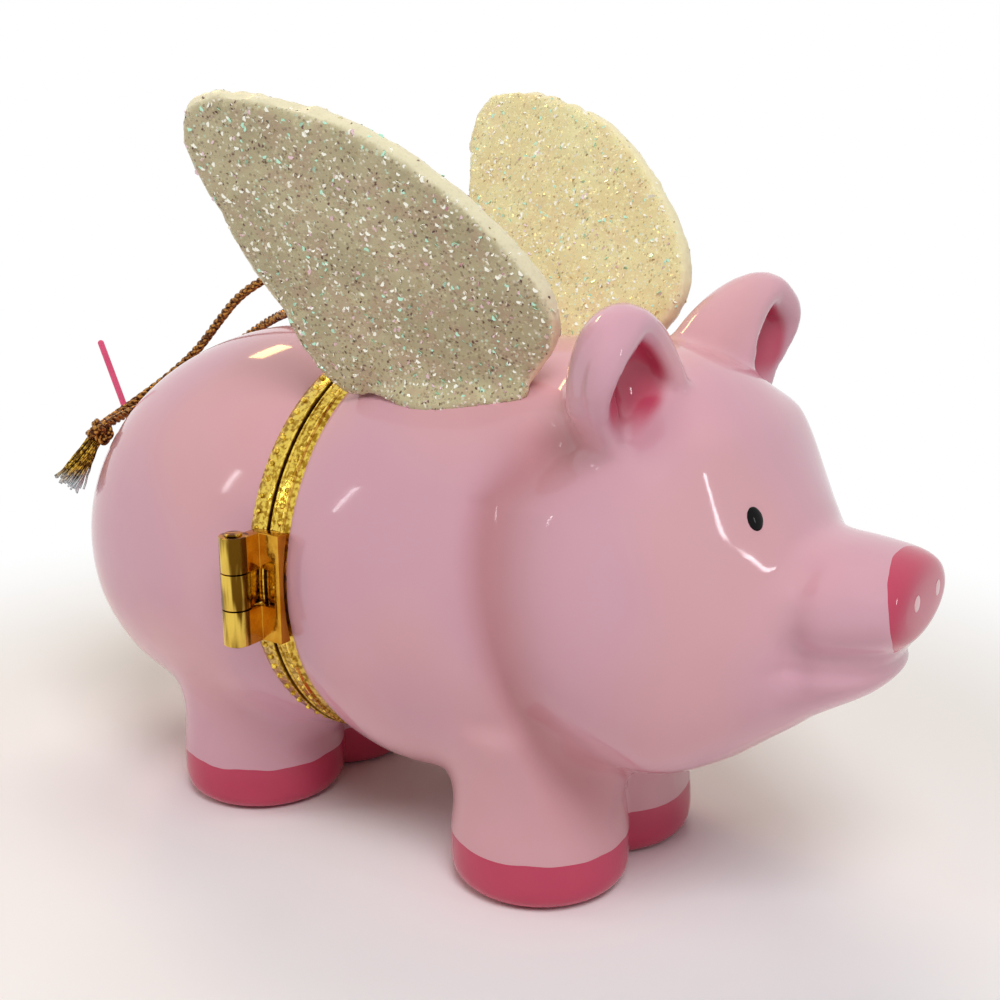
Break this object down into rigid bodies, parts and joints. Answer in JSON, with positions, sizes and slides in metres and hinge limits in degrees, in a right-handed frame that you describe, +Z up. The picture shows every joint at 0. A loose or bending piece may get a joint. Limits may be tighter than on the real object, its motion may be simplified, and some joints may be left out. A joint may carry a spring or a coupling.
{
  "type": "pig figurine",
  "caption": "Winged porcelain pig that opens on a side hinge as a small trinket box, with beaded metal rims and a hanging cord.",
  "frame": {"origin": "bottom centre of the figurine without its cord, on the surface it stands on", "axes": "+X towards the snout, +Y to the pig's left side, +Z up"},
  "size_m": [0.1027, 0.0492, 0.0756],
  "materials": {
    "pink_glaze": "gloss",
    "gilt_metal": "polished",
    "glittered_wing": "glitter",
    "pink_wire": "satin",
    "metallic_cord": "metallic thread"
  },
  "bodies": {
    "front_half": {"front_body": "pink_glaze", "front_bezel": "gilt_metal", "front_hinge_leaf": "gilt_metal", "hinge_pin": "gilt_metal", "clasp_tab": "gilt_metal", "wing_right": "glittered_wing", "wing_left": "glittered_wing"},
    "rear_half": {"rear_body": "pink_glaze", "rear_bezel": "gilt_metal", "rear_hinge_leaf": "gilt_metal", "clasp_stud": "gilt_metal", "tail_wire": "pink_wire", "hanging_eye": "gilt_metal", "cord_strand_far": "metallic_cord", "cord_strand_near": "metallic_cord", "cord_knot": "metallic_cord", "cord_tassel": "metallic_cord"}
  },
  "joints": [
    {"name": "box_hinge", "type": "hinge", "parent": "front_half", "child": "rear_half", "pos_m": [-0.007, -0.02335, 0.0298], "axis": [0, 0, 1], "range_deg": [0, 95]}
  ]
}
